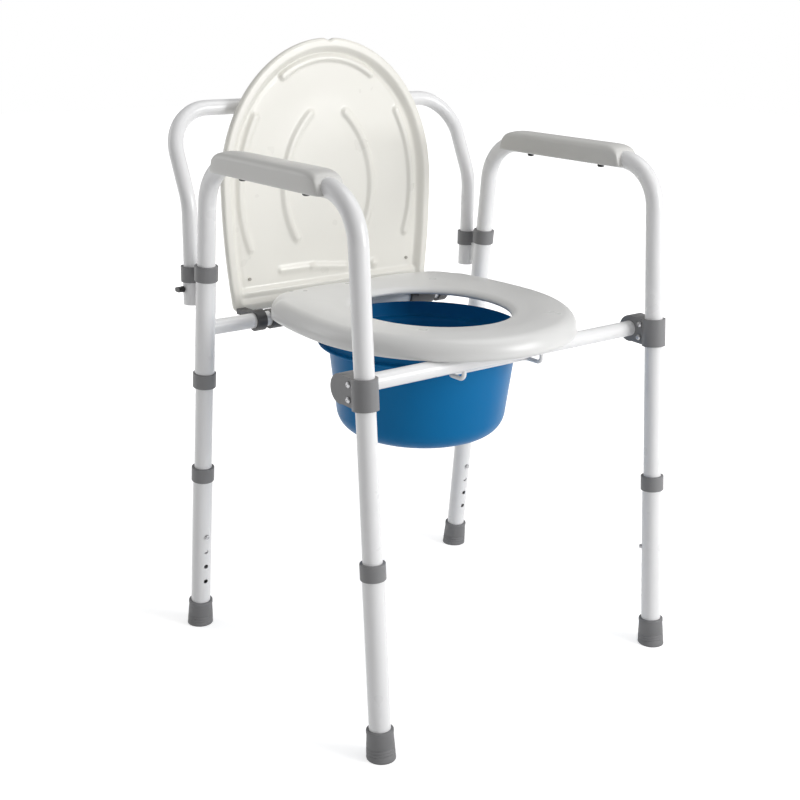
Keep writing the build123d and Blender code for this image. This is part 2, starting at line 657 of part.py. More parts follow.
rail_z = PAIL_FLANGE_Z - SEAT_GAP - RAIL_R
rail_out = (PAIL_TOP_R + PAIL_RIM_R) / 2
for end_name, end in ENDS:
    bar_y = REAR_BAR_Y if end > 0 else FRONT_BAR_Y
    rail_y = PAIL_Y + end * rail_out
    with BuildLine() as rail_line:
        FilletPolyline(
            (-RAIL_HALF, bar_y, BAR_Z),
            (-RAIL_HALF, bar_y, rail_z),
            (-RAIL_HALF, rail_y, rail_z),
            (RAIL_HALF, rail_y, rail_z),
            (RAIL_HALF, bar_y, rail_z),
            (RAIL_HALF, bar_y, BAR_Z),
            radius=RAIL_BEND,
        )
    with BuildPart() as rail:
        add(bent_tube(rail_line.wire(), RAIL_R))
        past = 2 * RAIL_HALF
        bar_solid = round_rod((-past, bar_y, BAR_Z), (past, bar_y, BAR_Z), BAR_R)
        add(bar_solid, mode=Mode.SUBTRACT)
        largest = rail.solids().sort_by(SortBy.VOLUME)[-1]
        add(largest, mode=Mode.REPLACE)
    save(rail, f"{end_name}_pail_rail")
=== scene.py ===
"""Looks of the commode chair: finishes on the CAD pieces, and moulded parts made as meshes."""

import json
from math import atan2, cos, degrees, hypot, pi, radians, sin, sqrt, tan

import bmesh
import bpy
import numpy as np
from mathutils import Matrix, Vector


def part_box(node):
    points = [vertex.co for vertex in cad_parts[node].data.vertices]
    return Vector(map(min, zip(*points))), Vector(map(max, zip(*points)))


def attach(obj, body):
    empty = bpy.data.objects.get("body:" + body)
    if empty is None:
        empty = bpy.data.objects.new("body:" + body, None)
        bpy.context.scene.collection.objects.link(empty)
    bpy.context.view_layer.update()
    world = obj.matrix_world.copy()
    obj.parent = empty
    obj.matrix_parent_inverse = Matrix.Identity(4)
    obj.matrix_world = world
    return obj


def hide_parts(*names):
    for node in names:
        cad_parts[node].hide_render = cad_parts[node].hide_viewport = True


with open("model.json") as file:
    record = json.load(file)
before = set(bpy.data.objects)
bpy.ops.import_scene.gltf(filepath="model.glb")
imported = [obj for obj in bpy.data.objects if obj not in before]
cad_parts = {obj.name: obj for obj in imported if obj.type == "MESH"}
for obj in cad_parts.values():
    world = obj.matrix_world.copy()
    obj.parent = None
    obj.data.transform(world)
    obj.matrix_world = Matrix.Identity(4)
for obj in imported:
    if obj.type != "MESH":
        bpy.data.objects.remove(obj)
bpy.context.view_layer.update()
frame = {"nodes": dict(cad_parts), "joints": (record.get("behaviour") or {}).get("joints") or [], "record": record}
SIDES = (("left", -1), ("right", 1))
ENDS = (("front", -1), ("rear", 1))

# ---- sizes that the moulded pieces share with the frame, in metres ----
LEG_LEAN = radians(5.0)
hoop_low, hoop_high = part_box("right_side_hoop")
LEG_HALF_WIDTH = (hoop_high[0] + hoop_low[0]) / 2
LEG_MID_Y = (hoop_high[1] + hoop_low[1]) / 2
hinge = next(j for j in frame["joints"] if j["name"] == "lid_hinge")
HINGE = Vector(hinge["pos_m"])


# ---- camera ----
AZIMUTH = radians(-38.54)
ELEVATION = radians(17.72)
ROLL = radians(1.05)
CAMERA_PLACE = Vector((-1.13762, LEG_MID_Y - 1.36036, 0.93752))
LENS_MM = 57.93
SENSOR_MM = 36
FARTHEST_SEEN = 50


def link_object(name, data):
    """A new object at the origin, in the scene."""
    item = bpy.data.objects.new(name, data)
    bpy.context.scene.collection.objects.link(item)
    return item


def place_camera():
    """The view from the front left, a little above the seat."""
    camera = link_object("camera", bpy.data.cameras.new("camera"))
    camera.data.lens = LENS_MM
    camera.data.sensor_width = SENSOR_MM
    camera.data.clip_end = FARTHEST_SEEN
    ahead = cos(ELEVATION)
    forward = Vector((-sin(AZIMUTH) * ahead, cos(AZIMUTH) * ahead, -sin(ELEVATION)))
    level = forward.cross(Vector((0, 0, 1))).normalized()
    up = level.cross(forward)
    right = level * cos(ROLL) + up * sin(ROLL)
    up = right.cross(forward)
    turn = Matrix((right, up, -forward)).transposed().to_4x4()
    camera.matrix_world = Matrix.Translation(CAMERA_PLACE) @ turn
    bpy.context.scene.camera = camera


place_camera()


# ---- finishes ----
PATCHES_PER_METRE = 7.0
SMEARS_PER_METRE = 26.0
GLOSS_SWING = 0.05
LIGHTER_SHARE = 0.6
COAT_ROUGHNESS = 0.12
WIDE_RANGE = {"start": 0.15, "end": 0.85}
DULL_ZINC = (0.42, 0.42, 0.43)
BRIGHT_ZINC = (0.55, 0.55, 0.56)
SCUFF_DEPTH = 0.00005


def new_finish(name):
    """A new material: itself, its tree, its Principled shader and the piece's own coordinates."""
    material = bpy.data.materials.new(name)
    material.use_nodes = True
    tree = material.node_tree
    shader = tree.nodes["Principled BSDF"]
    place = tree.nodes.new("ShaderNodeTexCoord")
    return material, tree, shader, place.outputs["Object"]


def noise(tree, where, scale, detail=4.0):
    """A noise pattern at that many cells per metre."""
    node = tree.nodes.new("ShaderNodeTexNoise")
    node.inputs["Scale"].default_value = scale
    node.inputs["Detail"].default_value = detail
    node.inputs["Roughness"].default_value = 0.55
    tree.links.new(where, node.inputs["Vector"])
    return node.outputs["Fac"]


def spread(tree, value, low, high, start=0.3, end=0.7):
    """Maps a pattern's middle range onto low to high."""
    node = tree.nodes.new("ShaderNodeMapRange")
    node.inputs["From Min"].default_value = start
    node.inputs["From Max"].default_value = end
    node.inputs["To Min"].default_value = low
    node.inputs["To Max"].default_value = high
    tree.links.new(value, node.inputs["Value"])
    return node.outputs["Result"]


def blend_colours(tree, amount, first, second):
    """A colour between two, by a pattern."""
    node = tree.nodes.new("ShaderNodeMix")
    node.data_type = "RGBA"
    node.inputs["A"].default_value = (*first, 1)
    node.inputs["B"].default_value = (*second, 1)
    tree.links.new(amount, node.inputs["Factor"])
    return node.outputs["Result"]


def relief(tree, shader, height, depth):
    """Bump of a real depth in metres."""
    node = tree.nodes.new("ShaderNodeBump")
    node.inputs["Strength"].default_value = 1.0
    node.inputs["Distance"].default_value = depth
    tree.links.new(height, node.inputs["Height"])
    tree.links.new(node.outputs["Normal"], shader.inputs["Normal"])


def moulded(name, colour, drift, gloss, grain, grain_depth, coat=0.0, mirror=0.5):
    """Moulded or coated surface: a slow drift of colour, an uneven gloss and a fine grain."""
    material, tree, shader, place = new_finish(name)
    darker = tuple(max(c - drift, 0) for c in colour)
    lighter = tuple(min(c + drift * LIGHTER_SHARE, 1) for c in colour)
    patches = spread(tree, noise(tree, place, PATCHES_PER_METRE, 1.0), 0, 1, **WIDE_RANGE)
    tree.links.new(blend_colours(tree, patches, darker, lighter), shader.inputs["Base Color"])
    smears = noise(tree, place, SMEARS_PER_METRE, 2.0)
    smears = spread(tree, smears, gloss - GLOSS_SWING, gloss + GLOSS_SWING, **WIDE_RANGE)
    tree.links.new(smears, shader.inputs["Roughness"])
    shader.inputs["Specular IOR Level"].default_value = mirror
    shader.inputs["Coat Weight"].default_value = coat
    shader.inputs["Coat Roughness"].default_value = COAT_ROUGHNESS
    relief(tree, shader, noise(tree, place, grain, 2.0), grain_depth)
    return material


def plated_steel(name):
    """Zinc plated screws: bright, with fine scuffs."""
    material, tree, shader, place = new_finish(name)
    shader.inputs["Metallic"].default_value = 1.0
    dull = spread(tree, noise(tree, place, 320.0), 0, 1)
    tree.links.new(blend_colours(tree, dull, DULL_ZINC, BRIGHT_ZINC), shader.inputs["Base Color"])
    tree.links.new(spread(tree, noise(tree, place, 900.0), 0.22, 0.42), shader.inputs["Roughness"])
    relief(tree, shader, noise(tree, place, 1500.0), SCUFF_DEPTH)
    return material


# each slot's finish: name, colour, drift of colour, roughness, grain to the metre and its depth
FINISHES = {
    "white_tube": moulded(
        "white_powder_coat", (0.86, 0.86, 0.865), 0.012, 0.30, 900.0, 0.00003, coat=0.2),
    "grey_plastic": moulded(
        "grey_moulding", (0.215, 0.215, 0.220), 0.02, 0.45, 1300.0, 0.00006),
    "dark_plastic": moulded(
        "dark_grey_moulding", (0.060, 0.060, 0.063), 0.012, 0.45, 1300.0, 0.00008),
    "foot_rubber": moulded(
        "grey_rubber", (0.210, 0.210, 0.215), 0.02, 0.60, 1000.0, 0.00010),
    "seat_plastic": moulded(
        "white_seat_plastic", (0.745, 0.745, 0.735), 0.010, 0.30, 1200.0, 0.00001),
    "lid_plastic": moulded(
        "ivory_lid_plastic", (0.86, 0.845, 0.785), 0.012, 0.30, 1200.0, 0.00001, coat=0.1),
    "pad_plastic": moulded(
        "white_pad_plastic", (0.66, 0.655, 0.635), 0.012, 0.34, 1400.0, 0.00002),
    "pail_plastic": moulded(
        "blue_pail_plastic", (0.0, 0.160, 0.395), 0.010, 0.36, 900.0, 0.00002, mirror=0.10),
    "steel": plated_steel("zinc_plate"),
    "black_screw": moulded(
        "black_screw_steel", (0.03, 0.03, 0.03), 0.01, 0.35, 1500.0, 0.00005),
    "white_clip": moulded(
        "white_clip_plastic", (0.74, 0.735, 0.72), 0.015, 0.35, 1200.0, 0.00003),
    "bumper_rubber": moulded(
        "pale_rubber", (0.42, 0.40, 0.36), 0.02, 0.55, 1200.0, 0.00008),
}

for part in frame["record"]["subparts"]:
    node = frame["nodes"][part["node"]]
    node.data.materials.clear()
    node.data.materials.append(FINISHES[part["material_slot"]])


# ---- mesh helpers ----
SAME_PLACE = 1e-7


def hand_over(piece, body, nodes):
    """Puts a piece on the body it rides on, and hides the CAD nodes it stands for."""
    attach(piece, body)
    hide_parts(*nodes)


def make_piece(name, vertices, faces, slot, body, nodes, levels=0):
    """A finished piece: closed, facing outwards, with its finish, riding on its body."""
    mesh = bpy.data.meshes.new(name)
    work = bmesh.new()
    points = [work.verts.new(v) for v in vertices]
    for face in faces:
        if len(set(face)) > 2:
            work.faces.new([points[i] for i in dict.fromkeys(face)])
    bmesh.ops.remove_doubles(work, verts=work.verts, dist=SAME_PLACE)
    bmesh.ops.recalc_face_normals(work, faces=work.faces)
    work.to_mesh(mesh)
    work.free()
    for polygon in mesh.polygons:
        polygon.use_smooth = True
    piece = link_object(name, mesh)
    mesh.materials.append(FINISHES[slot])
    if levels:
        rounder = piece.modifiers.new("rounder", "SUBSURF")
        rounder.levels = levels
        rounder.render_levels = levels
    hand_over(piece, body, nodes)


def rings_to_mesh(rings, closed_ends=True):
    """Joins equal rings of points into a skin, in order, with a fan over each end."""
    count = len(rings[0])
    vertices = [point for ring in rings for point in ring]
    faces = []
    for k in range(len(rings) - 1):
        for i in range(count):
            j = (i + 1) % count
            faces.append((k * count + i, k * count + j, (k + 1) * count + j, (k + 1) * count + i))
    if closed_ends:
        for k in (0, len(rings) - 1):
            centre = sum((Vector(p) for p in rings[k]), Vector()) / count
            vertices.append(centre)
            last = len(vertices) - 1
            for i in range(count):
                faces.append((k * count + i, k * count + (i + 1) % count, last))
    return vertices, faces


def lathe(profile, origin, axis, count, floor=None):
    """Turns a profile of (radius, height) about an axis, stopping at a floor if there is one."""
    axis = Vector(axis).normalized()
    across = axis.orthogonal().normalized()
    other = axis.cross(across)
    rings = []
    for radius, height in profile:
        ring = []
        for i in range(count):
            angle = 2 * pi * i / count
            point = Vector(origin) + axis * height + (across * cos(angle) + other * sin(angle)) * radius
            if floor is not None and point.z < floor:
                point.z = floor
            ring.append(point)
        rings.append(ring)
    return rings_to_mesh(rings)


def arc_profile(centre, radius, start, end, steps):
    """Points of a round corner in a profile, angles in degrees."""
    angles = [radians(start + (end - start) * k / steps) for k in range(steps + 1)]
    return [(centre[0] + radius * cos(a), centre[1] + radius * sin(a)) for a in angles]


def ease(value, low, high):
    """0 below low, 1 above high, and smooth between."""
    t = np.clip((value - low) / (high - low), 0, 1)
    return t * t * (3 - 2 * t)


# ---- seat ring ----
seat_low, seat_high = (Vector(v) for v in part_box("seat_ring"))
SEAT_THICK = seat_high.z - seat_low.z
SEAT_HALF = seat_high.x
SEAT_FRONT = LEG_MID_Y - seat_low.y
SEAT_BACK = seat_high.y - LEG_MID_Y
SEAT_REAR_HALF = 0.165
SEAT_CORNER = 0.050
HOLE_HALF_WIDTH = 0.107
HOLE_HALF_LENGTH = 0.119
CORNER_SHIFT = 0.0055
CORNER_RUN = 0.047
OUTER_ROUND = 0.021
INNER_ROUND = 0.013
SKIRT = 0.006
BELOW_TOP = 0.0012
CROWN = 0.0012
FALL_TO_HOLE = 0.0026
LIP_TOP_DROP = 0.0029
LIP_UP = 0.0165
RING_POINTS = 288


def side_arc(half, low_half, run, steps):
    """A long side that leaves the widest point square and draws in to low_half."""
    draw = half - low_half
    radius = (draw * draw + run * run) / (2 * draw)
    ys = [run * k / steps for k in range(steps + 1)]
    return [(half - (radius - sqrt(radius * radius - y * y)), y) for y in ys]


def seat_edge_radius(angles):
    """How far the seat's edge is from its middle, at each angle."""
    front = [(SEAT_HALF * cos(a), SEAT_FRONT * sin(a)) for a in np.linspace(-pi / 2, 0, 200)]
    side = side_arc(SEAT_HALF, SEAT_REAR_HALF, SEAT_BACK, 200)
    side = [point for point in side if point[1] < SEAT_BACK - CORNER_RUN]
    turn_x = SEAT_REAR_HALF - SEAT_CORNER + CORNER_SHIFT
    turn_y = SEAT_BACK - SEAT_CORNER
    corner = [(turn_x + SEAT_CORNER * cos(a), turn_y + SEAT_CORNER * sin(a))
              for a in np.linspace(radians(14), pi / 2, 60)]
    points = np.array(front + side + corner + [(0, SEAT_BACK)])
    turn = np.arctan2(points[:, 1], points[:, 0])
    far = np.hypot(points[:, 0], points[:, 1])
    order = np.argsort(turn)
    folded = np.arctan2(np.sin(angles), np.abs(np.cos(angles)))
    return np.interp(folded, turn[order], far[order])


def seat_section():
    """The ring's cross-section, closed: (metres in from the outer edge, share of the way in, height)."""
    section = [(0.006, 0, 0.0), (0.002, 0, 0.0008), (0.0, 0, 0.004), (0.0, 0, SKIRT)]
    rise = SEAT_THICK - SKIRT - BELOW_TOP
    for turn in np.radians(np.linspace(8, 90, 12)):
        section.append((OUTER_ROUND * (1 - cos(turn)), 0, SKIRT + rise * sin(turn)))
    for share in np.linspace(0.12, 0.90, 12):
        inset = OUTER_ROUND * (1 - share) - INNER_ROUND * share
        crown = CROWN * sin(pi * min(share * 1.25, 1.0)) - FALL_TO_HOLE * share * share
        section.append((inset, share, SKIRT + rise + crown))
    lip_drop = SKIRT + rise - LIP_TOP_DROP - LIP_UP
    for turn in np.radians(np.linspace(90, 6, 12)):
        section.append((-INNER_ROUND * (1 - cos(turn)), 1, LIP_UP + lip_drop * sin(turn)))
    section += [(-0.0008, 1, LIP_UP - 0.0016), (-0.0030, 1, LIP_UP - 0.0022), (-0.0090, 1, LIP_UP - 0.0020)]
    section += [(0.0, 0.62, 0.0080), (0.0, 0.45, 0.0030), (0.009, 0, 0.0020)]
    return section + section[:1]


def make_seat():
    """The moulded ring: rounded outside, gently crowned, falling to a thin lip at the hole."""
    angles = np.linspace(0, 2 * pi, RING_POINTS, endpoint=False)
    outer = seat_edge_radius(angles)
    inner = 1 / np.hypot(np.cos(angles) / HOLE_HALF_WIDTH, np.sin(angles) / HOLE_HALF_LENGTH)
    rings = []
    for inset, share, height in seat_section():
        far = outer * (1 - share) + inner * share - inset
        z = seat_low.z + height
        rings.append([Vector((r * cos(a), LEG_MID_Y + r * sin(a), z)) for r, a in zip(far, angles)])
    vertices, faces = rings_to_mesh(rings, closed_ends=False)
    make_piece("seat_moulding", vertices, faces, "seat_plastic", "seat", ["seat_ring"])


make_seat()

# ---- lid ----
LID_LEAN = radians(2.0)
LID_BEHIND = 0.046
LID_THICK = 0.014
LID_HALF_WIDTH = 0.192
LID_FOOT_HALF = 0.1785
LID_WIDEST = 0.180
LID_LENGTH = 0.393
LID_START = 0.002
LID_CORNER = 0.010
RIB_HALF_WIDTH = 0.0075
RIB_HEIGHT = 0.0040
OUTER_RIB = ((0.1290, 0.283), (0.1575, 0.190), (0.1370, 0.076))
INNER_RIB = ((0.0320, 0.284), (0.0785, 0.198), (0.0590, 0.098))
TOP_RIB = ((-0.0790, 0.340), (0.0, 0.3655), (0.0790, 0.340))
LOW_RIB = ((-0.0920, 0.0555), (-0.0350, 0.0555), (0.0250, 0.0490))
LOW_RIB_HEIGHT = 0.0024
RIM_HEIGHT = 0.0102
RIM_ROUND = 0.0045
BOSS_PLACE = (0.0826, 0.0476)
BOSS_HEIGHT = 0.0035
DISH_DEPTH = 0.0015
FOOT_STEP = 0.0050
NOTCH_DEPTH = 0.0035
NOTCH_HALF_WIDTH = 0.006
LID_SKIN = 0.0034
BACK_ROUND = 0.0075
THINNEST_SKIN = 0.0004
LID_ROWS = 200
LID_COLUMNS = 170


def lid_half_width(up):
    """Half the lid's width at a height above the hinge."""
    share = (up - LID_WIDEST) / (LID_LENGTH - LID_WIDEST)
    above = np.sqrt(np.clip(1 - share ** 2, 0, 1)) * LID_HALF_WIDTH
    run = LID_WIDEST - LID_START
    draw = LID_HALF_WIDTH - LID_FOOT_HALF
    radius = (draw * draw + run * run) / (2 * draw)
    below = LID_HALF_WIDTH - (radius - np.sqrt(radius ** 2 - np.clip(LID_WIDEST - up, 0, run) ** 2))
    drop = np.clip(LID_START + LID_CORNER - up, 0, LID_CORNER)
    below = below - (LID_CORNER - np.sqrt(LID_CORNER ** 2 - drop ** 2))
    return np.where(up > LID_WIDEST, above, below)


def arc_distance(x, y, points):
    """Distance from each place to the round arc through three points, ends rounded."""
    (x1, y1), (x2, y2), (x3, y3) = points
    d = 2 * (x1 * (y2 - y3) + x2 * (y3 - y1) + x3 * (y1 - y2))
    s1, s2, s3 = (px ** 2 + py ** 2 for px, py in points)
    cx = (s1 * (y2 - y3) + s2 * (y3 - y1) + s3 * (y1 - y2)) / d
    cy = (s1 * (x3 - x2) + s2 * (x1 - x3) + s3 * (x2 - x1)) / d
    radius = hypot(x1 - cx, y1 - cy)
    middle = atan2(y2 - cy, x2 - cx)
    half = abs((atan2(y1 - cy, x1 - cx) - middle + pi) % (2 * pi) - pi)
    turn = np.clip((np.arctan2(y - cy, x - cx) - middle + pi) % (2 * pi) - pi, -half, half)
    return np.hypot(x - cx - radius * np.cos(middle + turn), y - cy - radius * np.sin(middle + turn))


def line_distance(x, y, start, end):
    """Distance from each place to a straight line between two points."""
    run_x, run_y = end[0] - start[0], end[1] - start[1]
    x, y = x - start[0], y - start[1]
    share = np.clip((x * run_x + y * run_y) / (run_x ** 2 + run_y ** 2), 0, 1)
    return np.hypot(x - run_x * share, y - run_y * share)


def round_over(edge, radius):
    """How far a rounded border falls away, at each distance in from the edge."""
    return np.where(edge < radius, radius - np.sqrt(radius ** 2 - (radius - edge) ** 2), 0)


def lid_relief(x, y, edge):
    """Height of the lid's inner face above its sunk panel."""
    rim = RIM_HEIGHT * (1 - ease(edge, 0.011, 0.024)) - round_over(edge, RIM_ROUND)
    lines = [arc_distance(x, y, TOP_RIB)]
    for _, side in SIDES:
        for rib in (OUTER_RIB, INNER_RIB):
            lines.append(arc_distance(x, y, [(side * px, py) for px, py in rib]))
    ribs = sum(RIB_HEIGHT * (1 - ease(line, 0.0030, RIB_HALF_WIDTH + 0.0005)) for line in lines)
    for start, end in zip(LOW_RIB, LOW_RIB[1:]):
        ribs = ribs + LOW_RIB_HEIGHT * (1 - ease(line_distance(x, y, start, end), 0.002, 0.0065))
    from_boss = np.hypot(x - BOSS_PLACE[0], y - BOSS_PLACE[1])
    boss = BOSS_HEIGHT * (1 - ease(from_boss, 0.0035, 0.008))
    dish = DISH_DEPTH * (1 - ease(edge, 0.02, 0.09))
    step = FOOT_STEP * (1 - ease(y, 0.030, 0.036))
    ribs = ribs * ease(edge, 0.016, 0.028)
    return np.maximum(rim, step) + ribs + boss + dish * ease(edge, 0.019, 0.03)


def lid_edge_distance(x, y):
    """How far each place on the lid is from its outline."""
    above = LID_LENGTH - LID_WIDEST
    level = np.hypot(x / LID_HALF_WIDTH, (y - LID_WIDEST) / above)
    slant = np.hypot(x / LID_HALF_WIDTH ** 2, (y - LID_WIDEST) / above ** 2)
    slant = slant / np.maximum(level, 1e-6)
    upper = (1 - level) / np.maximum(slant, 1e-6)
    lower = np.minimum(lid_half_width(y) - np.abs(x), y - LID_START)
    return np.clip(np.where(y > LID_WIDEST, upper, lower), 0, 1)


def lid_grid():
    """Places over the lid, closer together near its border."""
    share = np.linspace(0, 1, LID_ROWS + 1)
    up = LID_START + (LID_LENGTH - LID_START) * np.sin(share * pi / 2)
    low_rows = LID_START + LID_CORNER * (1 - np.cos(np.linspace(0, pi / 2, 12)))
    up = np.unique(np.concatenate([low_rows, up[up > LID_START + LID_CORNER]]))
    cross = np.sin(np.linspace(-pi / 2, pi / 2, LID_COLUMNS + 1)) * 0.35
    cross = cross + np.linspace(-1, 1, LID_COLUMNS + 1) * 0.65
    y, cross = np.meshgrid(up, cross, indexing="ij")
    return cross * lid_half_width(y), y


def make_lid():
    """The open lid: a raised rim and pressed ribs inside, a smooth skin with rounded borders outside."""
    lean_up = Vector((0, sin(LID_LEAN), cos(LID_LEAN)))
    forward = Vector((0, -cos(LID_LEAN), sin(LID_LEAN)))
    x, y = lid_grid()
    edge = lid_edge_distance(x, y)
    front = LID_SKIN - LID_BEHIND - LID_THICK + lid_relief(x, y, edge)
    back = -LID_BEHIND - LID_THICK + round_over(edge, BACK_ROUND)
    back = np.minimum(back, front - THINNEST_SKIN)
    y = y - NOTCH_DEPTH * np.exp(-(x / NOTCH_HALF_WIDTH) ** 2) * ease(y, 0.380, 0.392)
    rows, columns = x.shape
    vertices, faces = [], []
    for sheet in (front, back):
        for across, up, out in zip(x.flat, y.flat, sheet.flat):
            vertices.append(HINGE + Vector((across, 0, 0)) + lean_up * up + forward * out)
    behind = rows * columns
    for i in range(rows - 1):
        for j in range(columns - 1):
            a, d = i * columns + j, (i + 1) * columns + j
            faces.append((a, a + 1, d + 1, d))
            faces.append((behind + d, behind + d + 1, behind + a + 1, behind + a))
    last_row = (rows - 1) * columns
    border = list(range(columns)) + [i * columns + columns - 1 for i in range(1, rows)]
    border += [last_row + j for j in range(columns - 2, -1, -1)]
    border += [i * columns for i in range(rows - 2, 0, -1)]
    for a, b in zip(border, border[1:] + border[:1]):
        faces.append((a, behind + a, behind + b, b))
    make_piece("lid_moulding", vertices, faces, "lid_plastic", "lid", ["lid_panel"])


make_lid()

# ---- arm pads ----
PAD_SLANT = 0.010
PAD_SHOULDER = 0.0095
PAD_CROWN = 0.0012
PAD_END = 0.022
PAD_END_WIDTH = 0.86
PAD_END_HEIGHT = 0.76


def pad_section(width, height, steps=8):
    """A pad's cross-section: upright sides, well rounded shoulders, a slightly crowned top."""
    half = width / 2
    flat = half - PAD_SHOULDER
    turn_z = height - PAD_CROWN - PAD_SHOULDER
    points = [(half - 0.0030, 0.0), (half - 0.0008, 0.0006), (half, 0.0028), (half - 0.0004, turn_z)]
    for k in range(1, steps + 1):
        a = radians(90 * k / steps)
        points.append((flat + PAD_SHOULDER * cos(a), turn_z + PAD_SHOULDER * sin(a)))
    points += [(flat * 0.5, height - 0.0003), (0.0, height)]
    mirrored = [(-x, z) for x, z in reversed(points[:-1])]
    return points + mirrored


def make_pad(name):
    """A moulded arm pad that sits over the tube, its ends drawn in and sloping."""
    low, high = (Vector(v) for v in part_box(f"{name}_arm_pad"))
    middle = (low.x + high.x) / 2
    width, height, length = high.x - low.x, high.z - low.z, high.y - low.y
    ends = [0.0, 0.0015, 0.004, 0.008, 0.014, PAD_END]
    spots = ends + list(np.linspace(0.04, length - 0.04, 12)) + [length - s for s in reversed(ends)]
    rings = []
    for spot in spots:
        near = min(spot, length - spot)
        full = sqrt(max(1 - (1 - min(near / PAD_END, 1)) ** 2, 0))
        wide = width * (PAD_END_WIDTH + (1 - PAD_END_WIDTH) * full)
        tall = height * (PAD_END_HEIGHT + (1 - PAD_END_HEIGHT) * full)
        inwards = 1 if spot < length / 2 else -1
        slant = PAD_SLANT * inwards * (1 - ease(near, 0.03, 0.08))
        ring = []
        for x, z in pad_section(wide, tall):
            lean = slant * (z / height) ** 1.2
            ring.append(Vector((middle + x, low.y + spot + lean, low.z + z)))
        rings.append(ring)
    vertices, faces = rings_to_mesh(rings)
    node = f"{name}_arm_pad"
    make_piece(f"{node}_moulding", vertices, faces, "pad_plastic", "frame", [node], levels=2)


for name, _ in SIDES:
    make_pad(name)

# ---- pail ----
pail_low, pail_high = (Vector(v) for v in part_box("pail"))
PAIL_TOP_R = 0.135
PAIL_BOTTOM_R = 0.119
PAIL_WALL = 0.0025
PAIL_ROUND = 0.034
PAIL_FLANGE = 0.130
PAIL_FLANGE_THICK = 0.003
PAIL_NECK_R = 0.141
PAIL_MOUTH_R = 0.143
FLANGE_ROUND = 0.0014
UNDER_FLANGE_ROUND = 0.0022
NECK_ROUND = 0.002
MOUTH_ROUND = 0.0013
ON_AXIS = 0.0001


def make_pail():
    """A turned pail: rounded foot, tapered wall, a flange with a softened edge, and a neck above it."""
    middle = (pail_low + pail_high) / 2
    flange_r = (pail_high.x - pail_low.x) / 2
    edge_x = flange_r - FLANGE_ROUND
    base, depth = pail_low.z, pail_high.z - pail_low.z
    lean = atan2(PAIL_TOP_R - PAIL_BOTTOM_R, PAIL_FLANGE)
    foot_round = (PAIL_BOTTOM_R + PAIL_ROUND * tan(lean) - PAIL_ROUND / cos(lean), PAIL_ROUND)
    wall_turn = degrees(-lean)
    over = PAIL_FLANGE + PAIL_FLANGE_THICK
    mid_neck = (over + depth) / 2
    inner_top_r, inner_neck_r = PAIL_TOP_R - PAIL_WALL, PAIL_NECK_R - PAIL_WALL
    shares = (0.40, 0.55, 0.7, 0.85, 0.97)
    wall = [(PAIL_BOTTOM_R + (PAIL_TOP_R - PAIL_BOTTOM_R) * k, PAIL_FLANGE * k) for k in shares]
    profile = [(ON_AXIS, 0.0015), (0.060, 0.0015), (0.062, 0.0), (0.067, 0.0), (0.069, 0.0012)]
    profile += arc_profile(foot_round, PAIL_ROUND, -82, wall_turn, 18)
    profile += wall
    under = (PAIL_TOP_R + UNDER_FLANGE_ROUND, PAIL_FLANGE - UNDER_FLANGE_ROUND)
    profile += arc_profile(under, UNDER_FLANGE_ROUND, 180, 90, 4)
    profile += [(flange_r - 0.0030, PAIL_FLANGE)]
    profile += arc_profile((edge_x, PAIL_FLANGE + FLANGE_ROUND), FLANGE_ROUND, -90, 0, 4)
    profile += arc_profile((edge_x, over - FLANGE_ROUND), FLANGE_ROUND, 0, 90, 4)
    profile += [(flange_r - 0.0030, over)]
    profile += arc_profile((PAIL_NECK_R + NECK_ROUND, over + NECK_ROUND), NECK_ROUND, -90, -180, 4)
    profile += [(PAIL_NECK_R + 0.001, mid_neck)]
    profile += arc_profile((PAIL_MOUTH_R - MOUTH_ROUND, depth - MOUTH_ROUND), MOUTH_ROUND, 0, 180, 8)
    profile += [(inner_neck_r + 0.001, mid_neck)]
    profile += arc_profile((inner_neck_r - 0.003, over + 0.003), 0.003, 0, -90, 4)
    profile += [(inner_top_r + 0.0006, over - 0.0002)]
    profile += [(radius - PAIL_WALL, height) for radius, height in reversed(wall)]
    profile += arc_profile(foot_round, PAIL_ROUND - PAIL_WALL, wall_turn, -90, 18)
    profile += [(ON_AXIS, PAIL_WALL)]
    vertices, faces = lathe(profile, (middle.x, middle.y, base), (0, 0, 1), 160)
    make_piece("pail_moulding", vertices, faces, "pail_plastic", "pail", ["pail"])


make_pail()

# ---- rubber feet ----
FOOT_HEIGHT = 0.040
FOOT_TOP_R = 0.0172
FOOT_BOTTOM_R = 0.0193
SLEEVE_R = 0.0143
SLEEVE_END = 0.012
GROOVE_DEPTH = 0.0007
GROOVE_PITCH = 0.0042
LOWEST_GROOVE = 0.0065


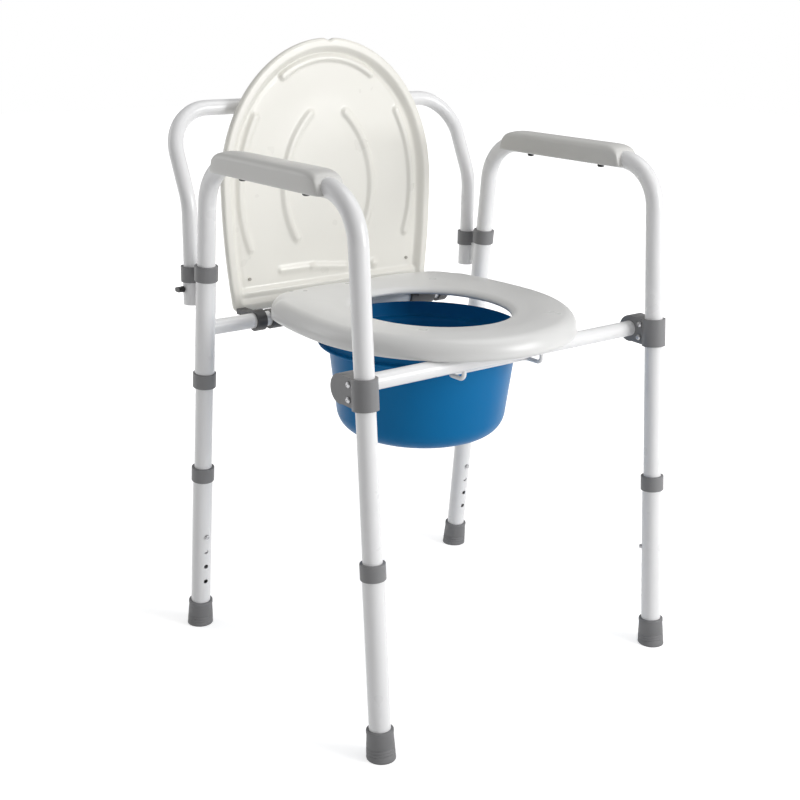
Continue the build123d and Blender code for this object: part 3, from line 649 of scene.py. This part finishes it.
def make_foot(label, end):
    """A ribbed rubber ferrule on a leg, cut flat where it meets the floor."""
    mounts = frame["record"]["mounts"]
    mount = next(m for m in mounts if m["name"] == f"{label}_foot_face")
    axis = Vector((0, -end * sin(LEG_LEAN), cos(LEG_LEAN)))
    profile = [(ON_AXIS, -0.004), (FOOT_BOTTOM_R, -0.004), (FOOT_BOTTOM_R, 0.0015)]
    profile += [(FOOT_BOTTOM_R - 0.0004, 0.004)]
    for k in range(3):
        start = LOWEST_GROOVE + k * GROOVE_PITCH
        wide = FOOT_BOTTOM_R - (FOOT_BOTTOM_R - FOOT_TOP_R) * start / FOOT_HEIGHT
        deep = wide - GROOVE_DEPTH
        profile += [(wide, start), (deep, start + 0.0007), (deep, start + 0.0014), (wide, start + 0.0021)]
    lip = FOOT_TOP_R + 0.0008
    profile += [(FOOT_TOP_R + 0.0003, 0.034), (lip, 0.0350), (lip, 0.0375)]
    profile += arc_profile((FOOT_TOP_R - 0.0008, FOOT_HEIGHT - 0.0016), 0.0016, 0, 90, 4)
    profile += [(SLEEVE_R, FOOT_HEIGHT), (SLEEVE_R, SLEEVE_END), (ON_AXIS, SLEEVE_END)]
    vertices, faces = lathe(profile, mount["pos_m"], axis, 72, floor=0.0)
    body, node = f"{label}_lower_leg", f"{label}_foot"
    make_piece(f"{label}_foot_rubber", vertices, faces, "foot_rubber", body, [node])


for end_name, end in ENDS:
    for name, _ in SIDES:
        make_foot(f"{end_name}_{name}", end)


# ---- screws, set out by a node tree ----
HEAD_PROFILE = ((1.0, 0.0), (1.0, 0.18), (0.93, 0.34), (0.78, 0.48), (0.55, 0.57), (0.34, 0.60))
HEAD_HEIGHT = 0.60
CROSS_REACH = 0.30
CROSS_WAIST = 0.12
CROSS_NARROWS = 0.8
CROSS_FLOOR = 0.22


def screw_head_mesh():
    """A pan head with a cross recess, facing +Z, its radius 1."""
    mesh = bpy.data.meshes.new("screw_head")
    work = bmesh.new()
    count = 40
    turns = [2 * pi * i / count for i in range(count)]
    rings = [[work.verts.new((r * cos(a), r * sin(a), z)) for a in turns] for r, z in HEAD_PROFILE]
    star = []
    for turn in turns:
        reach = CROSS_REACH if abs(cos(2 * turn)) > 0.86 else CROSS_WAIST
        star.append(work.verts.new((reach * cos(turn), reach * sin(turn), HEAD_HEIGHT)))
    narrow = CROSS_NARROWS
    pit = [work.verts.new((v.co.x * narrow, v.co.y * narrow, CROSS_FLOOR)) for v in star]
    rings += [star, pit]
    for k in range(len(rings) - 1):
        for i in range(count):
            j = (i + 1) % count
            work.faces.new((rings[k][i], rings[k][j], rings[k + 1][j], rings[k + 1][i]))
    work.faces.new(pit)
    work.faces.new(list(reversed(rings[0])))
    bmesh.ops.recalc_face_normals(work, faces=work.faces)
    work.to_mesh(mesh)
    work.free()
    return mesh


def screw_tree(head, material):
    """Puts a screw head on every point, facing along the point's normal."""
    tree = bpy.data.node_groups.new("set_out_screws", "GeometryNodeTree")
    tree.interface.new_socket("Geometry", in_out="INPUT", socket_type="NodeSocketGeometry")
    size = tree.interface.new_socket("Head radius", in_out="INPUT", socket_type="NodeSocketFloat")
    tree.interface.new_socket("Geometry", in_out="OUTPUT", socket_type="NodeSocketGeometry")
    into = tree.nodes.new("NodeGroupInput")
    out = tree.nodes.new("NodeGroupOutput")
    facing = tree.nodes.new("GeometryNodeInputNamedAttribute")
    facing.data_type = "FLOAT_VECTOR"
    facing.inputs["Name"].default_value = "facing"
    turn = tree.nodes.new("FunctionNodeAlignRotationToVector")
    turn.axis = "Z"
    head_info = tree.nodes.new("GeometryNodeObjectInfo")
    head_info.inputs["Object"].default_value = head
    points = tree.nodes.new("GeometryNodeInstanceOnPoints")
    real = tree.nodes.new("GeometryNodeRealizeInstances")
    coat = tree.nodes.new("GeometryNodeSetMaterial")
    coat.inputs["Material"].default_value = material
    link = tree.links.new
    link(into.outputs["Geometry"], points.inputs["Points"])
    link(head_info.outputs["Geometry"], points.inputs["Instance"])
    link(facing.outputs["Attribute"], turn.inputs["Vector"])
    link(turn.outputs["Rotation"], points.inputs["Rotation"])
    link(into.outputs["Head radius"], points.inputs["Scale"])
    link(points.outputs["Instances"], real.inputs["Geometry"])
    link(real.outputs["Geometry"], coat.inputs["Geometry"])
    link(coat.outputs["Geometry"], out.inputs["Geometry"])
    return tree, size.identifier


def set_out_screws(name, places, radius, slot, body, nodes):
    """One piece of screw heads at (place, facing) pairs."""
    head = link_object("screw_head_pattern", screw_head_mesh())
    mesh = bpy.data.meshes.new(name + "_places")
    mesh.from_pydata([place for place, facing in places], [], [])
    attribute = mesh.attributes.new("facing", "FLOAT_VECTOR", "POINT")
    for item, (place, facing) in zip(attribute.data, places):
        item.vector = facing
    holder = link_object(name + "_holder", mesh)
    tree, size_input = screw_tree(head, FINISHES[slot])
    modifier = holder.modifiers.new("set_out", "NODES")
    modifier.node_group = tree
    modifier[size_input] = radius
    graph = bpy.context.evaluated_depsgraph_get()
    mesh = bpy.data.meshes.new_from_object(holder.evaluated_get(graph))
    piece = link_object(name, mesh)
    bpy.data.objects.remove(holder)
    bpy.data.objects.remove(head)
    bpy.data.node_groups.remove(tree)
    for polygon in mesh.polygons:
        polygon.use_smooth = len(polygon.vertices) == 4
    hand_over(piece, body, nodes)


PAD_SCREW_FROM_MID = (-0.066, 0.080)
PAD_SCREW_SUNK = 0.004
PAD_SCREW_HEAD_R = 0.0052
BOLT_SPREAD = 0.019
BOLT_HEAD_DEPTH = 0.0026
BOLT_HEAD_R = 0.0042


def make_screws(name, side):
    """The heads of a side's two pad screws and of its clamp's bolts."""
    low, high = (Vector(v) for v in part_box(f"{name}_pad_screws"))
    x, z = side * LEG_HALF_WIDTH, low.z + PAD_SCREW_SUNK
    spots = [(Vector((x, LEG_MID_Y + y, z)), Vector((0, 0, -1))) for y in PAD_SCREW_FROM_MID]
    label, node = f"{name}_pad_screw_heads", f"{name}_pad_screws"
    set_out_screws(label, spots, PAD_SCREW_HEAD_R, "black_screw", "frame", [node])
    low, high = (Vector(v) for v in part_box(f"{name}_clamp_bolts"))
    middle = (low + high) / 2
    spots = []
    for x, facing in ((low.x + BOLT_HEAD_DEPTH, -1), (high.x - BOLT_HEAD_DEPTH, 1)):
        for up in (-1, 1):
            spot = Vector((x, middle.y, middle.z + up * BOLT_SPREAD / 2))
            spots.append((spot, Vector((facing, 0, 0))))
    label, node = f"{name}_clamp_bolt_heads", f"{name}_clamp_bolts"
    set_out_screws(label, spots, BOLT_HEAD_R, "steel", "frame", [node])


for name, side in SIDES:
    make_screws(name, side)


# ---- floor, backdrop and light ----
FLOOR_HALF = 8
FLOOR_DROP = 0.0005
FLOOR_GLOW = 0.58
FLOOR_GLOW_STARTS = 0.6
FLOOR_WHITE_FROM = 2.0
WORLD_LIGHT = 0.36
AIM = Vector((0, 0, 0.5))
LAMPS = (  # name, place, size in metres, watts
    ("key", (1.3, -2.4, 1.3), 1.3, 47),
    ("top", (0.7, -0.4, 2.8), 1.6, 16),
    ("back_fill", (-1.6, 2.2, 1.4), 1.6, 14),
)


def pale_surface(name, glow):
    """Plain white that keeps shadows near the object, and glows white to the camera farther off."""
    material = bpy.data.materials.new(name)
    material.use_nodes = True
    tree = material.node_tree
    shader = tree.nodes["Principled BSDF"]
    shader.inputs["Base Color"].default_value = (0.80, 0.80, 0.80, 1)
    shader.inputs["Roughness"].default_value = 0.9
    shader.inputs["Specular IOR Level"].default_value = 0.0
    shader.inputs["Emission Color"].default_value = (1, 1, 1, 1)
    rays = tree.nodes.new("ShaderNodeLightPath")
    seen = tree.nodes.new("ShaderNodeMath")
    seen.operation = "MAXIMUM"
    tree.links.new(rays.outputs["Is Camera Ray"], seen.inputs[0])
    tree.links.new(rays.outputs["Is Glossy Ray"], seen.inputs[1])
    place = tree.nodes.new("ShaderNodeTexCoord")
    away = tree.nodes.new("ShaderNodeVectorMath")
    away.operation = "LENGTH"
    tree.links.new(place.outputs["Object"], away.inputs[0])
    brighter = spread(
        tree, away.outputs["Value"], glow, 1.0, start=FLOOR_GLOW_STARTS, end=FLOOR_WHITE_FROM)
    amount = tree.nodes.new("ShaderNodeMath")
    amount.operation = "MULTIPLY"
    tree.links.new(brighter, amount.inputs[1])
    tree.links.new(seen.outputs[0], amount.inputs[0])
    tree.links.new(amount.outputs[0], shader.inputs["Emission Strength"])
    return material


def make_stage():
    """A large pale floor, and a world that is white to the eye and softer as light."""
    mesh = bpy.data.meshes.new("floor")
    turns = ((-1, -1), (1, -1), (1, 1), (-1, 1))
    corners = [(x * FLOOR_HALF, y * FLOOR_HALF, -FLOOR_DROP) for x, y in turns]
    mesh.from_pydata(corners, [], [(0, 1, 2, 3)])
    floor = link_object("floor", mesh)
    mesh.materials.append(pale_surface("floor_white", FLOOR_GLOW))
    world = bpy.data.worlds.new("studio")
    bpy.context.scene.world = world
    world.use_nodes = True
    tree = world.node_tree
    soft = tree.nodes["Background"]
    soft.inputs["Color"].default_value = (1, 1, 1, 1)
    soft.inputs["Strength"].default_value = WORLD_LIGHT
    white = tree.nodes.new("ShaderNodeBackground")
    white.inputs["Strength"].default_value = 1.0
    white.inputs["Color"].default_value = (1, 1, 1, 1)
    rays = tree.nodes.new("ShaderNodeLightPath")
    mix = tree.nodes.new("ShaderNodeMixShader")
    tree.links.new(rays.outputs["Is Camera Ray"], mix.inputs["Fac"])
    tree.links.new(soft.outputs[0], mix.inputs[1])
    tree.links.new(white.outputs[0], mix.inputs[2])
    tree.links.new(mix.outputs[0], tree.nodes["World Output"].inputs["Surface"])


def softbox(name, place, size, power):
    """A square soft lamp aimed at the middle of the object."""
    lamp = bpy.data.lights.new(name, "AREA")
    lamp.size = size
    lamp.energy = power
    turn = (AIM - Vector(place)).to_track_quat("-Z", "Y").to_matrix().to_4x4()
    link_object(name, lamp).matrix_world = Matrix.Translation(place) @ turn


make_stage()
for lamp_settings in LAMPS:
    softbox(*lamp_settings)
bpy.context.scene.view_settings.view_transform = "Standard"
